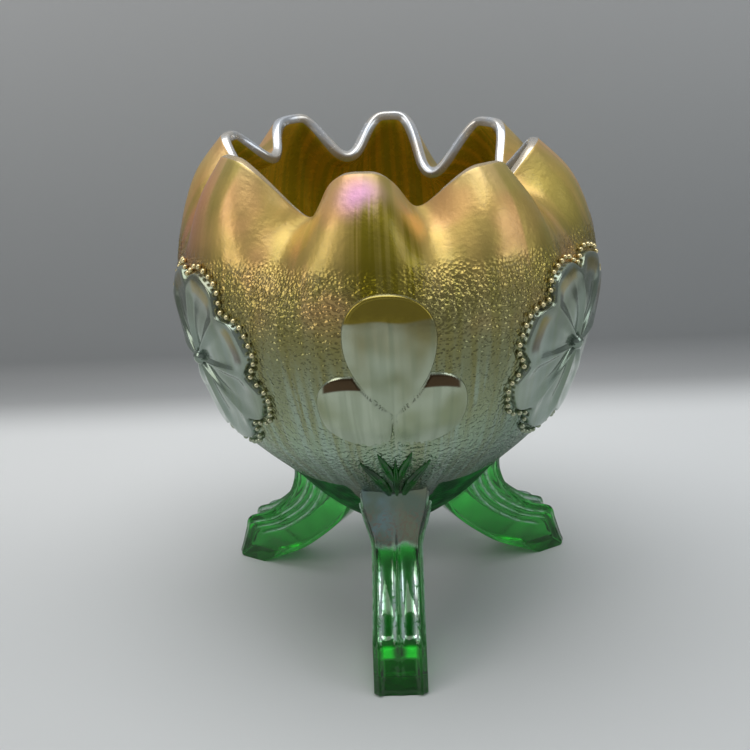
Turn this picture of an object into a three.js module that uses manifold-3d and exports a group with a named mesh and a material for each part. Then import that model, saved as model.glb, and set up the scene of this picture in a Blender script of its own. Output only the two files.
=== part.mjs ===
// A footed art glass rose bowl: an egg-shaped bowl with a crimped rim, standing on three
// curled feet. Between the feet the wall carries a beaded eight-petal flower, and above each
// foot a trefoil with a fan of leaves under it.
// Millimetres, +Z up. The origin is on the table under the bowl's axis, and the front foot
// points along -Y. Turns are degrees round +Z, counted from the front.
import * as THREE from "three";
import { mergeVertices } from "three/addons/utils/BufferGeometryUtils.js";
import Module from "manifold-3d";

// ---- Driving dimensions -------------------------------------------------------------------

const BOWL_RADIUS = 55; // widest outer radius
const BOWL_BOTTOM = 24.5; // lowest point of the bowl above the table
const SHOULDER_HEIGHT = 97; // height of the widest ring
const CREST_RISE = 34.5; // top of an average scallop above the shoulder
const CREST_RADIUS = 41.5;
const DIP_RISE = 24.3; // bottom of an average dip between scallops above the shoulder
const DIP_RADIUS = 34;
const WALL = 3.2; // glass thickness of the wall
const BOTTOM_WALL = 6; // glass thickness at the middle of the bottom

const CLEARANCE = 0.3; // gap between two pieces that lie on each other

const FOOT_TURNS = { front: 0, right: 120, left: -120 };
const FOOT_HALF_WIDTH = 6.9;
const FOOT_DRAFT = 1.3; // how much narrower the outer face is on each side
const FOOT_FLARE = 3; // how much wider each side gets where the foot meets the bowl
const FOOT_RIDGE = 2.2; // how far the middle ridge stands out from the outer face
const FOOT_TROUGH = 0.4; // hollow of the two flutes beside the ridge
const FOOT_RIB = 0.55; // height of the ribs on the foot's sides
const TOE_RADIUS = 55; // distance of the toe's tip from the axis
const PAD_LENGTH = 10.5; // flat part of the foot that stands on the table

const FLOWER_TURNS = { right: 60, back: 180, left: -60 };
const FLOWER_DROP = 13; // how far the flower's middle is below the shoulder
const FLOWER_RADIUS = 25.6; // to the tip of a petal
const PETALS = 8;
const PETAL_NOTCH = 3.6; // how far the outline pulls in between two petals
const PETAL_RIM = 1.5; // height of the petal's edge over the wall
const PETAL_DISH = 0.9; // height of the hollow part of a petal
const BUTTON_RADIUS = 2.4;
const BUTTON_HEIGHT = 3.2;
const BEADS_PER_PETAL = 9;
const BEAD_RADIUS = 0.8;
const BEAD_CORD_RADIUS = 0.35; // web that joins two beads

const TREFOIL_DROP = 14; // how far the point where the lobes meet is below the shoulder
const TREFOIL_HALF_WIDTH = 19.4;
const TREFOIL_RELIEF = 1.7;
const LEAF_GAP = 3.2; // from the foot's upper end to the point where the leaves meet
const LEAF_MARGIN = 2.9; // from the leaves' tips to the trefoil's lower end
const LEAF_STALK = 1.8; // radius of the body that joins the leaves
const LEAF_RELIEF = 1.1;

// The rim is crimped by hand, so no two scallops are alike. Each row is a scallop's turn, then
// how far its crest stands out and up from the average, and the same for the dip after it.
const CRIMPS = [
  { crest: [-5, 0.2, -0.6], dip: [15.5, -0.5, -0.4] },
  { crest: [38.5, 0.3, -1.4], dip: [61, 0, 0] },
  { crest: [83.5, -1.3, -1.2], dip: [107, 0, 0] },
  { crest: [132, -1.1, -0.1], dip: [154.5, -2.3, -3.4] },
  { crest: [177, 0, 0.6], dip: [197.5, 0.3, 1.5] },
  { crest: [218.5, 0.1, 2.1], dip: [241.5, 0.4, 5] },
  { crest: [263, -0.2, 2.4], dip: [285, 0, 0.2] },
  { crest: [305, 2.6, 1.4], dip: [331, 0.9, -2.3] },
];
const DIP_SHARPNESS = 1.8; // above 1, dips are narrower than crests

// ---- Mesh fineness ------------------------------------------------------------------------

const WALL_STEPS_ROUND = 72;
const WALL_STEPS_OUTSIDE = 20;
const WALL_STEPS_INSIDE = 11;
const FOOT_STEPS = 13;
const UNDERSIDE_STEP = 4.2; // longest step of a raised plate's underside

// ---- The bowl's outer surface -------------------------------------------------------------

const BOWL_DEPTH = SHOULDER_HEIGHT - BOWL_BOTTOM;

// Outline from the middle of the bottom up to the shoulder, as shares of radius and depth.
const LOWER_OUTLINE = [
  [0, 0], [0.127, 0.012], [0.245, 0.057], [0.409, 0.164], [0.555, 0.29], [0.718, 0.418],
  [0.832, 0.52], [0.895, 0.634], [0.949, 0.759], [0.988, 0.883], [1, 1],
];
// Outlines from the shoulder to the rim, as shares of the way in and of the way up.
const CREST_OUTLINE = [[0.04, 0.26], [0.19, 0.52], [0.48, 0.77], [1, 1]];
const DIP_OUTLINE = [[0.07, 0.31], [0.26, 0.61], [0.58, 0.86], [1, 1]];

const lowerPoints = LOWER_OUTLINE.map(
  ([out, up]) => new THREE.Vector2(out * BOWL_RADIUS, BOWL_BOTTOM + up * BOWL_DEPTH),
);

// The meridian that ends at the rim's given radius and rise above the shoulder. Every meridian
// is the same below the shoulder.
function meridianTo(rimRadius, rimRise, outline) {
  const upper = outline.map(
    ([inwards, up]) =>
      new THREE.Vector2(
        BOWL_RADIUS + inwards * (rimRadius - BOWL_RADIUS),
        SHOULDER_HEIGHT + up * rimRise,
      ),
  );
  return new THREE.SplineCurve([...lowerPoints, ...upper]);
}

const crestMeridians = CRIMPS.map(({ crest: [, out, up] }) =>
  meridianTo(CREST_RADIUS + out, CREST_RISE + up, CREST_OUTLINE),
);
const dipMeridians = CRIMPS.map(({ dip: [, out, up] }) =>
  meridianTo(DIP_RADIUS + out, DIP_RISE + up, DIP_OUTLINE),
);
const plainMeridian = meridianTo(CREST_RADIUS, CREST_RISE, CREST_OUTLINE);
const MERIDIAN_LENGTH = plainMeridian.getLength();

// The two neighbouring meridians at a turn, and how far it is from the crest to the dip.
function crimpAt(turn) {
  const first = CRIMPS[0].crest[0];
  const wrapped = THREE.MathUtils.euclideanModulo(turn - first, 360) + first;
  let index = CRIMPS.length - 1;
  while (CRIMPS[index].crest[0] > wrapped) index -= 1;
  const next = (index + 1) % CRIMPS.length;
  const [crestTurn] = CRIMPS[index].crest;
  const [dipTurn] = CRIMPS[index].dip;
  const nextTurn = CRIMPS[next].crest[0] + (next === 0 ? 360 : 0);
  const falling = wrapped < dipTurn;
  const way = falling
    ? (wrapped - crestTurn) / (dipTurn - crestTurn)
    : (nextTurn - wrapped) / (nextTurn - dipTurn);
  const towardsDip = Math.sin((way * Math.PI) / 2) ** (2 * DIP_SHARPNESS);
  return { crest: crestMeridians[falling ? index : next], dip: dipMeridians[index], towardsDip };
}

// A point of the outer surface. climb runs from 0 at the bottom's middle to 1 at the rim, and
// past 1 the surface goes straight on.
function outerPoint(turn, climb) {
  const { crest, dip, towardsDip } = crimpAt(turn);
  const held = Math.min(climb, 1);
  const at = crest.getPoint(held).lerp(dip.getPoint(held), towardsDip);
  if (climb > 1) {
    const ahead = crest.getTangent(1).lerp(dip.getTangent(1), towardsDip).normalize();
    at.addScaledVector(ahead, (climb - 1) * MERIDIAN_LENGTH);
  }
  const angle = THREE.MathUtils.degToRad(turn);
  return new THREE.Vector3(at.x * Math.sin(angle), -at.x * Math.cos(angle), at.y);
}

// The surface's normal, pointing out of the glass.
function outwards(turn, climb) {
  const nearAxis = 1e-3;
  if (climb < nearAxis) return new THREE.Vector3(0, 0, -1);
  const top = Math.min(climb, 1);
  const along = outerPoint(turn, top).sub(outerPoint(turn, top - nearAxis));
  const round = outerPoint(turn + 0.2, top).sub(outerPoint(turn - 0.2, top));
  return round.cross(along).normalize();
}

// A point that lies the given distance off the outer surface.
function offWall(turn, climb, lift) {
  return outerPoint(turn, climb).addScaledVector(outwards(turn, climb), lift);
}

// Length along the plain meridian, from the bottom's middle up to where isBelow stops holding.
function lengthUpTo(isBelow) {
  let low = 0;
  let high = 1;
  for (let i = 0; i < 30; i += 1) {
    const middle = (low + high) / 2;
    if (isBelow(plainMeridian.getPointAt(middle))) low = middle;
    else high = middle;
  }
  return low * MERIDIAN_LENGTH;
}

// Where the flat drawing of an ornament lands on the wall: x runs round the bowl and y up it,
// both along the glass, from a middle at the given turn and length up the meridian.
function drawnOnWall(middleTurn, middleLength) {
  return (x, y, lift) => {
    const share = THREE.MathUtils.clamp((middleLength + y) / MERIDIAN_LENGTH, 0.01, 0.99);
    const climb = plainMeridian.getUtoTmapping(share);
    const radius = plainMeridian.getPoint(climb).x;
    return offWall(middleTurn + THREE.MathUtils.radToDeg(x / radius), climb, lift);
  };
}

// ---- Making closed bodies -----------------------------------------------------------------

// Moves every vertex of a geometry and joins the ones that meet.
function reshape(geometry, move) {
  const position = geometry.getAttribute("position");
  const at = new THREE.Vector3();
  for (let i = 0; i < position.count; i += 1) {
    at.fromBufferAttribute(position, i);
    const moved = move(at);
    position.setXYZ(i, moved.x, moved.y, moved.z);
  }
  return welded(geometry);
}

function welded(geometry) {
  geometry.deleteAttribute("normal");
  geometry.deleteAttribute("uv");
  return mergeVertices(geometry, 1e-4);
}

const wasm = await Module();
wasm.setup();

function toSolid(geometry) {
  return new wasm.Manifold(
    new wasm.Mesh({
      numProp: 3,
      vertProperties: new Float32Array(geometry.getAttribute("position").array),
      triVerts: new Uint32Array(geometry.index.array),
    }),
  );
}

function toGeometry(solid) {
  const { vertProperties, triVerts } = solid.getMesh();
  const geometry = new THREE.BufferGeometry();
  geometry.setAttribute("position", new THREE.BufferAttribute(vertProperties, 3));
  geometry.setIndex(new THREE.BufferAttribute(triVerts, 1));
  return geometry;
}

const glass = (color, roughness, metalness) =>
  new THREE.MeshStandardMaterial({ color, roughness, metalness });
const MATERIALS = {
  coatedWall: glass(0xa6a57e, 0.25, 0.6),
  greenGlass: glass(0x2f8f4a, 0.08, 0),
  silverRelief: glass(0x9fb0a4, 0.15, 0.6),
  goldBeads: glass(0xd8cf9a, 0.15, 0.8),
  darkLeaf: glass(0x1f5a2c, 0.2, 0.2),
};

const bowl = new THREE.Group();

function addPiece(name, geometry, material, parent = bowl) {
  geometry.computeVertexNormals();
  const mesh = new THREE.Mesh(geometry, material);
  mesh.name = name;
  parent.add(mesh);
}

// ---- Bowl wall ----------------------------------------------------------------------------

// The lathe profile is drawn with climb as its radius and depth into the glass as its height,
// from the outside at depth 0 over the rounded lip to the inside at depth 1.
function wallProfile() {
  const profile = [];
  for (let i = 0; i <= WALL_STEPS_OUTSIDE; i += 1)
    profile.push(new THREE.Vector2(i / WALL_STEPS_OUTSIDE, 0));
  for (const depth of [0.2, 0.8]) {
    const lip = ((WALL / 2) * Math.sin(depth * Math.PI)) / MERIDIAN_LENGTH;
    profile.push(new THREE.Vector2(1 + lip, depth));
  }
  for (let i = WALL_STEPS_INSIDE; i >= 0; i -= 1)
    profile.push(new THREE.Vector2(i / WALL_STEPS_INSIDE, 1));
  return profile;
}

function wallThickness(climb) {
  return THREE.MathUtils.lerp(BOTTOM_WALL, WALL, THREE.MathUtils.smoothstep(climb, 0, 0.35));
}

function bowlWall() {
  return reshape(new THREE.LatheGeometry(wallProfile(), WALL_STEPS_ROUND), (at) => {
    const climb = Math.hypot(at.x, at.z);
    const turn = THREE.MathUtils.radToDeg(Math.atan2(at.x, at.z));
    return offWall(turn, climb, -at.y * wallThickness(climb));
  });
}

addPiece("bowl_wall", bowlWall(), MATERIALS.coatedWall);

// ---- Feet ---------------------------------------------------------------------------------

// Side view of a foot, from inside the bowl down to the table. Each point is a share of the way
// out to the toe or the heel, then a height as a multiple of the bowl's own height.
const FOOT_OUTER_EDGE = [
  [0, 2.02], [0.01, 1.66], [0.03, 1.35], [0.12, 1.08], [0.3, 0.87], [0.53, 0.69],
  [0.8, 0.555], [0.87, 0.38], [0.945, 0.16], [0.99, 0.04], [0.96, 0],
];
const FOOT_INNER_EDGE = [
  [0, 1.29], [0.09, 1.1], [0.2, 0.89], [0.31, 0.71], [0.44, 0.53], [0.6, 0.335],
  [0.75, 0.2], [0.86, 0.11], [0.945, 0.037], [0.99, 0.008], [1, 0],
];
const FOOT_OUTER_START = BOWL_RADIUS * 0.556;
const FOOT_INNER_START = BOWL_RADIUS * 0.136;

function edgeCurve(points, start, end) {
  return new THREE.SplineCurve(
    points.map(([out, up]) => new THREE.Vector2(start + out * (end - start), up * BOWL_BOTTOM)),
  );
}

const footOuterCurve = edgeCurve(FOOT_OUTER_EDGE, FOOT_OUTER_START, TOE_RADIUS);
const footInnerCurve = edgeCurve(FOOT_INNER_EDGE, FOOT_INNER_START, TOE_RADIUS - PAD_LENGTH);

// Share of the foot's depth at which each rib of its side runs, at the bowl and at the toe.
const FOOT_RIBS = [[0.34, 0.07], [0.45, 0.2], [0.56, 0.36]];
const RIB_HALF_SHARE = 0.035;
const RIB_END = 0.62; // the ribs stop before the toe

// Half of a foot's cross section, from the middle of the outer face round to the middle of the
// inner one: [distance from the middle plane, share of the depth, distance out of the face].
function halfSection(way) {
  const flare = FOOT_FLARE * (1 - THREE.MathUtils.smoothstep(way, 0.05, 0.22));
  const side = FOOT_HALF_WIDTH + flare;
  const edge = side - FOOT_DRAFT;
  const toToe = THREE.MathUtils.smoothstep(way, 0.55, 0.75);
  const ridge = THREE.MathUtils.lerp(FOOT_RIDGE, 0.3, toToe);
  const trough = THREE.MathUtils.lerp(-FOOT_TROUGH, 0.2, toToe);
  const rib = way < RIB_END ? FOOT_RIB : 0;
  const ribPoints = FOOT_RIBS.flatMap(([atBowl, atToe]) => {
    const share = THREE.MathUtils.lerp(atBowl, atToe, Math.min(way / RIB_END, 1));
    return [
      [side - rib, share - RIB_HALF_SHARE, 0],
      [side, share, 0],
      [side - rib, share + RIB_HALF_SHARE, 0],
    ];
  });
  return [
    [0, 0, ridge], [edge * 0.2, 0, ridge * 0.55], [edge * 0.55, 0, trough], [edge, 0, 0],
    ...ribPoints,
    [side, 0.75, 0], [side - 0.8, 0.97, 0], [side * 0.5, 1, 0], [0, 1, 0],
  ];
}

const HALF_COUNT = halfSection(0).length;
const FOOT_SIDES = 2 * (HALF_COUNT - 1);

// A point of the foot's skin in its own frame, where the foot points along -Y. corner counts
// the section's points round, and reach 0 is the middle of an end cap.
function footPoint(corner, way, reach) {
  const mirrored = corner > HALF_COUNT - 1;
  const [lateral, depth, stand] = halfSection(way)[mirrored ? FOOT_SIDES - corner : corner];
  const outer = footOuterCurve.getPoint(way);
  const inner = footInnerCurve.getPoint(way);
  const across = inner.clone().sub(outer);
  const share = THREE.MathUtils.lerp(0.5, depth, reach);
  const at = outer.clone().addScaledVector(across, share);
  const standing = stand * reach * (1 - THREE.MathUtils.smoothstep(way, 0.9, 1));
  at.addScaledVector(across.normalize(), -standing);
  return new THREE.Vector3((mirrored ? -lateral : lateral) * reach, -at.x, at.y);
}

function footBlank() {
  const blank = new THREE.CylinderGeometry(1, 1, 1, FOOT_SIDES, FOOT_STEPS);
  return reshape(blank, (at) => {
    const reach = Math.hypot(at.x, at.z);
    const round = THREE.MathUtils.euclideanModulo(Math.atan2(at.x, at.z), 2 * Math.PI);
    const corner = Math.round((round / (2 * Math.PI)) * FOOT_SIDES) % FOOT_SIDES;
    return footPoint(corner, 0.5 - at.y, Math.round(reach));
  });
}

// The bowl's lower half as a full body, grown by the clearance, which trims the feet.
function bowlTrimmer() {
  const profile = [];
  const shoulder = (LOWER_OUTLINE.length - 1) / (plainMeridian.points.length - 1);
  const steps = 16;
  for (let i = 0; i <= steps; i += 1) profile.push(new THREE.Vector2((shoulder * i) / steps, 0));
  profile.push(new THREE.Vector2(0, 1));
  return reshape(new THREE.LatheGeometry(profile, WALL_STEPS_ROUND), (at) => {
    if (at.y > 0.5) return new THREE.Vector3(0, 0, SHOULDER_HEIGHT);
    const turn = THREE.MathUtils.radToDeg(Math.atan2(at.x, at.z));
    return offWall(turn, Math.hypot(at.x, at.z), CLEARANCE);
  });
}

const trimmer = toSolid(bowlTrimmer());
for (const [side, turn] of Object.entries(FOOT_TURNS)) {
  const foot = new THREE.Group();
  foot.rotation.z = THREE.MathUtils.degToRad(turn);
  const turned = trimmer.rotate([0, 0, -turn]);
  const pieces = toSolid(footBlank()).subtract(turned).decompose();
  const largest = pieces.reduce((a, b) => (a.volume() > b.volume() ? a : b));
  addPiece(`foot_${side}`, toGeometry(largest), MATERIALS.greenGlass, foot);
  bowl.add(foot);
}

// ---- Ornaments on the wall ----------------------------------------------------------------

// A raised plate. outline(angle) is its drawn radius, height(x, y, reach) how far its face
// stands off the wall, where reach runs from 0 in the middle to 1 on the outline. Its underside
// has steps short enough to follow the wall at the clearance.
function raisedPlate(place, outline, height, stepsRound, reaches) {
  const profile = reaches.map((reach) => new THREE.Vector2(reach, 0));
  const underSteps = Math.ceil(outline(Math.PI / 2) / UNDERSIDE_STEP);
  for (let i = underSteps; i >= 0; i -= 1) profile.push(new THREE.Vector2(i / underSteps, 1));
  return reshape(new THREE.LatheGeometry(profile, stepsRound), (at) => {
    const reach = Math.hypot(at.x, at.z);
    const angle = Math.atan2(at.z, at.x);
    const x = reach * outline(angle) * Math.cos(angle);
    const y = reach * outline(angle) * Math.sin(angle);
    return place(x, y, at.y > 0.5 ? CLEARANCE : CLEARANCE + height(x, y, reach));
  });
}

// How deep the drawing is between two petals: 0 along a petal's middle, 1 between two.
const betweenPetals = (angle) => 0.5 + 0.5 * Math.cos(PETALS * (angle - Math.PI / 2));
const petalOutline = (angle) =>
  FLOWER_RADIUS - PETAL_NOTCH * betweenPetals(angle) ** 3 - 2 * BEAD_RADIUS;

function flowerPlate(place) {
  const height = (x, y, reach) => {
    const vein = betweenPetals(Math.atan2(y, x)) ** 6 * 0.6;
    const edge = THREE.MathUtils.smoothstep(reach, 0.72, 0.95);
    return THREE.MathUtils.lerp(PETAL_DISH, PETAL_RIM, Math.max(vein, edge * 0.9));
  };
  const hub = (BUTTON_RADIUS + CLEARANCE) / FLOWER_RADIUS;
  return raisedPlate(place, petalOutline, height, 6 * PETALS, [0, hub, 0.6, 0.92, 1]);
}

function flowerButton(place) {
  const rise = PETAL_DISH + 0.6 * (PETAL_RIM - PETAL_DISH) + CLEARANCE;
  const raised = (x, y, lift) => place(x, y, rise + lift);
  const dome = (x, y, reach) => (BUTTON_HEIGHT - rise) * Math.sqrt(1 - (0.97 * reach) ** 2);
  return raisedPlate(raised, () => BUTTON_RADIUS, dome, 12, [0, 0.5, 0.85, 1]);
}

// A string of beads round the flower: a ring whose section swells at each bead.
function beadBorder(place) {
  const beads = PETALS * BEADS_PER_PETAL;
  const ring = new THREE.TorusGeometry(1, 0.5, 4, 2 * beads);
  return reshape(ring, (at) => {
    const round = Math.atan2(at.y, at.x);
    const tube = Math.atan2(at.z, Math.hypot(at.x, at.y) - 1);
    const count = Math.round((round / (2 * Math.PI)) * 2 * beads);
    const thick = count % 2 === 0 ? BEAD_RADIUS : BEAD_CORD_RADIUS;
    const middle = petalOutline(round) + BEAD_RADIUS + CLEARANCE;
    const reach = middle + thick * Math.cos(tube);
    const lift = CLEARANCE + BEAD_RADIUS + thick * Math.sin(tube);
    return place(reach * Math.cos(round), reach * Math.sin(round), lift);
  });
}

for (const [side, turn] of Object.entries(FLOWER_TURNS)) {
  const place = drawnOnWall(turn, lengthUpTo((at) => at.y < SHOULDER_HEIGHT - FLOWER_DROP));
  addPiece(`flower_${side}`, flowerPlate(place), MATERIALS.silverRelief);
  addPiece(`flower_button_${side}`, flowerButton(place), MATERIALS.silverRelief);
  addPiece(`bead_border_${side}`, beadBorder(place), MATERIALS.goldBeads);
}

// The trefoil's outline runs round a cluster of circles, each [x, y, radius] in shares of the
// trefoil's half width. The last circle surrounds the middle.
const TREFOIL_CIRCLES = [
  [0, 0.6, 0.56],
  [-0.56, -0.29, 0.44],
  [0.56, -0.29, 0.44],
  [0, -0.08, 0.33],
];
const trefoilBottom = TREFOIL_HALF_WIDTH * 0.73; // from the middle down to the lower lobes' ends

function trefoilOutline(angle) {
  const reaches = TREFOIL_CIRCLES.map(([x, y, radius]) => {
    const ahead = x * Math.cos(angle) + y * Math.sin(angle);
    const aside = x * Math.sin(angle) - y * Math.cos(angle);
    return Math.abs(aside) < radius ? ahead + Math.sqrt(radius ** 2 - aside ** 2) : 0;
  });
  return TREFOIL_HALF_WIDTH * Math.max(...reaches);
}

// The fan fills the wall between the foot and the trefoil, less a margin.
const trefoilMiddle = lengthUpTo((at) => at.y < SHOULDER_HEIGHT - TREFOIL_DROP);
const footTopRadius = FOOT_OUTER_START + FOOT_RIDGE;
const footTop = lengthUpTo((at) => at.x < footTopRadius && at.y < SHOULDER_HEIGHT);
const fanMiddle = footTop + LEAF_GAP;
const leafLength = trefoilMiddle - trefoilBottom - fanMiddle - LEAF_MARGIN;
// Each leaf's direction and half width in degrees, then its length against the longest.
const LEAVES = [[58, 15, 0.9], [76, 10, 1], [90, 13, 0.88], [104, 10, 1], [122, 15, 0.9]];

function fanOutline(angle) {
  const degrees = THREE.MathUtils.radToDeg(angle);
  const reaches = LEAVES.map(([direction, halfWidth, length]) => {
    const away = THREE.MathUtils.euclideanModulo(degrees - direction + 180, 360) - 180;
    const fullness = Math.max(0, 1 - (away / halfWidth) ** 2) ** 0.8;
    return LEAF_STALK + (length * leafLength - LEAF_STALK) * fullness;
  });
  return Math.max(...reaches);
}

function trefoilPlate(place) {
  const height = (x, y, reach) => TREFOIL_RELIEF * Math.sqrt(Math.max(0.06, 1 - reach ** 2));
  return raisedPlate(place, trefoilOutline, height, 44, [0, 0.45, 0.8, 1]);
}

function leafFan(place) {
  const height = (x, y, reach) => LEAF_RELIEF * (1 - 0.7 * reach);
  return raisedPlate(place, fanOutline, height, 60, [0, 0.6, 1]);
}

for (const [side, turn] of Object.entries(FOOT_TURNS)) {
  addPiece(`trefoil_${side}`, trefoilPlate(drawnOnWall(turn, trefoilMiddle)), MATERIALS.silverRelief);
  addPiece(`leaf_fan_${side}`, leafFan(drawnOnWall(turn, fanMiddle)), MATERIALS.darkLeaf);
}

export default bowl;
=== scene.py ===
"""A footed art glass rose bowl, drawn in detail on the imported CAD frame.

Shapes are worked out in millimetres and turned into metres when a mesh is made. Turns are
degrees round +Z, counted from the front (-Y), as in the CAD part.
"""
import math

import bpy
import numpy as np
from mathutils import Matrix, Vector


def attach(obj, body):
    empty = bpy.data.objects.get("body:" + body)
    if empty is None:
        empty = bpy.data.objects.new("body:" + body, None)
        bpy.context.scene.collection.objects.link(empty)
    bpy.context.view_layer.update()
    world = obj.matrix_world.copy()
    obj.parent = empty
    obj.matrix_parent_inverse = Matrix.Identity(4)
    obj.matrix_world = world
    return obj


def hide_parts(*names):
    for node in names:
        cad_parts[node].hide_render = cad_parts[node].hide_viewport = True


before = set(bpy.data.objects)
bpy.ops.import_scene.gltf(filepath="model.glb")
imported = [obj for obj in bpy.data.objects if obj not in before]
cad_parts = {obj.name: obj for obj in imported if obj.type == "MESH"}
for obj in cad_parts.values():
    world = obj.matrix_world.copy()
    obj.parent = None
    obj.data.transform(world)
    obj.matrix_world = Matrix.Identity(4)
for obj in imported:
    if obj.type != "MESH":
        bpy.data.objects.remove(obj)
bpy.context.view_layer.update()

MM = 0.001
scene = bpy.context.scene

# ---- Sizes shared with the CAD part ----------------------

BOWL_RADIUS = 55
BOWL_BOTTOM = 24.5
SHOULDER_HEIGHT = 97
CREST_RISE = 34.5
CREST_RADIUS = 41.5
DIP_RISE = 24.3
DIP_RADIUS = 34
WALL = 3.2
BOTTOM_WALL = 6
FOOT_HALF_WIDTH = 6.9
FOOT_DRAFT = 1.3
FOOT_FLARE = 3
TOE_RADIUS = 55
PAD_LENGTH = 10.5
FLOWER_DROP = 13
FLOWER_RADIUS = 25.6
PETALS = 8
PETAL_NOTCH = 3.6
BEADS_PER_PETAL = 9
BEAD_RADIUS = 0.8
CLEARANCE = 0.3
TREFOIL_DROP = 14
TREFOIL_HALF_WIDTH = 19.4
ORNAMENT_SHIFT = 1.3  # turn of the trefoils and leaf fans against the feet

FOOT_TURNS = {"front": 0, "right": 120, "left": -120}
FLOWER_TURNS = {"right": 60, "back": 180, "left": -60}

# Each row is a crest's turn, how far it stands out and up from the average, and the same for
# the dip after it.
CRIMPS = np.array(
    [
        [-5, 0.2, -0.6, 15.5, -0.5, -0.4],
        [38.5, 0.3, -1.4, 61, 0, 0],
        [83.5, -1.3, -1.2, 107, 0, 0],
        [132, -1.1, -0.1, 154.5, -2.3, -3.4],
        [177, 0, 0.6, 197.5, 0.3, 1.5],
        [218.5, 0.1, 2.1, 241.5, 0.4, 5],
        [263, -0.2, 2.4, 285, 0, 0.2],
        [305, 2.6, 1.4, 331, 0.9, -2.3],
    ]
)
DIP_SHARPNESS = 1.8

# Shares of the bowl's radius and depth, and then of the way from the widest ring to the rim.
LOWER_OUTLINE = [
    [0, 0], [0.127, 0.012], [0.245, 0.057], [0.409, 0.164], [0.555, 0.29], [0.718, 0.418],
    [0.832, 0.52], [0.895, 0.634], [0.949, 0.759], [0.988, 0.883], [1, 1],
]
CREST_OUTLINE = [[0.04, 0.26], [0.19, 0.52], [0.48, 0.77], [1, 1]]
DIP_OUTLINE = [[0.07, 0.31], [0.26, 0.61], [0.58, 0.86], [1, 1]]


# ---- The bowl's outer surface ----------------------------


def meridian_points(rim_radius, rim_rise, outline):
    """Radius and height of a meridian's points, from the bottom's middle to the rim."""
    depth = SHOULDER_HEIGHT - BOWL_BOTTOM
    lower = [[out * BOWL_RADIUS, BOWL_BOTTOM + up * depth] for out, up in LOWER_OUTLINE]
    upper = [
        [BOWL_RADIUS + way * (rim_radius - BOWL_RADIUS), SHOULDER_HEIGHT + up * rim_rise]
        for way, up in outline
    ]
    return np.array(lower + upper)


CREST_POINTS = np.array(
    [meridian_points(CREST_RADIUS + c[1], CREST_RISE + c[2], CREST_OUTLINE) for c in CRIMPS]
)
DIP_POINTS = np.array(
    [meridian_points(DIP_RADIUS + c[4], DIP_RISE + c[5], DIP_OUTLINE) for c in CRIMPS]
)


def spline(controls, way):
    """Catmull-Rom curve: controls is (vertices, points, 2) and way is (vertices,)."""
    last = controls.shape[1] - 1
    place = np.clip(way, 0, 1) * last
    index = np.floor(place).astype(int)
    t = (place - index)[:, None]
    row = np.arange(len(index))
    before = controls[row, np.maximum(index - 1, 0)]
    start = controls[row, index]
    end = controls[row, np.minimum(index + 1, last)]
    after = controls[row, np.minimum(index + 2, last)]
    leave = (end - before) / 2
    arrive = (after - start) / 2
    cubic = 2 * start - 2 * end + leave + arrive
    square = -3 * start + 3 * end - 2 * leave - arrive
    return ((cubic * t + square) * t + leave) * t + start


def meridian_controls(turn):
    """The control points of the meridian at each turn, between its crest's and its dip's."""
    crest_turns = CRIMPS[:, 0]
    first = crest_turns[0]
    wrapped = (turn - first) % 360 + first
    index = np.searchsorted(crest_turns, wrapped, side="right") - 1
    following = (index + 1) % len(CRIMPS)
    next_turn = np.where(following == 0, first + 360, crest_turns[following])
    dip_turn = CRIMPS[index, 3]
    falling = wrapped < dip_turn
    fall = (wrapped - crest_turns[index]) / (dip_turn - crest_turns[index])
    climb = (next_turn - wrapped) / (next_turn - dip_turn)
    way = np.clip(np.where(falling, fall, climb), 0, 1)
    towards_dip = (np.sin(way * np.pi / 2) ** (2 * DIP_SHARPNESS))[:, None, None]
    crest = CREST_POINTS[np.where(falling, index, following)]
    return crest + (DIP_POINTS[index] - crest) * towards_dip


SMALL_CLIMB = 1e-3
SMALL_TURN = 0.2


def outer_point(turn, climb):
    """Outer surface: climb runs from 0 at the bottom's middle to 1 at the rim and beyond."""
    controls = meridian_controls(turn)
    at = spline(controls, climb)
    if (climb > 1).any():
        edge = np.ones_like(climb)
        ahead = spline(controls, edge) - spline(controls, edge - SMALL_CLIMB)
        ahead /= np.linalg.norm(ahead, axis=1)[:, None]
        at = at + ahead * (np.maximum(climb - 1, 0) * MERIDIAN_LENGTH)[:, None]
    angle = np.radians(turn)
    return np.column_stack([at[:, 0] * np.sin(angle), -at[:, 0] * np.cos(angle), at[:, 1]])


def outwards(turn, climb):
    """The outer surface's normal, pointing away from the bowl."""
    top = np.clip(climb, 2 * SMALL_CLIMB, 1)
    along = outer_point(turn, top) - outer_point(turn, top - SMALL_CLIMB)
    around = outer_point(turn + SMALL_TURN, top) - outer_point(turn - SMALL_TURN, top)
    normal = np.cross(around, along)
    return normal / np.linalg.norm(normal, axis=1)[:, None]


def off_wall(turn, climb, lift):
    """Points that lie the given distance off the outer surface."""
    turn, climb, lift = (np.ravel(a).astype(float) for a in np.broadcast_arrays(turn, climb, lift))
    return outer_point(turn, climb) + outwards(turn, climb) * lift[:, None]


# The plain meridian, measured: climb, radius, height and length along it.
MERIDIAN_CLIMB = np.linspace(0, 1, 1501)
plain = meridian_points(CREST_RADIUS, CREST_RISE, CREST_OUTLINE)
plain = spline(np.repeat(plain[None], len(MERIDIAN_CLIMB), axis=0), MERIDIAN_CLIMB)
MERIDIAN_RADIUS, MERIDIAN_HEIGHT = plain.T
steps_along = np.linalg.norm(np.diff(plain, axis=0), axis=1)
MERIDIAN_ALONG = np.concatenate([[0], np.cumsum(steps_along)])
MERIDIAN_LENGTH = MERIDIAN_ALONG[-1]


def length_at_height(height):
    """Length along the plain meridian up to a height."""
    return float(np.interp(height, MERIDIAN_HEIGHT, MERIDIAN_ALONG))


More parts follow.
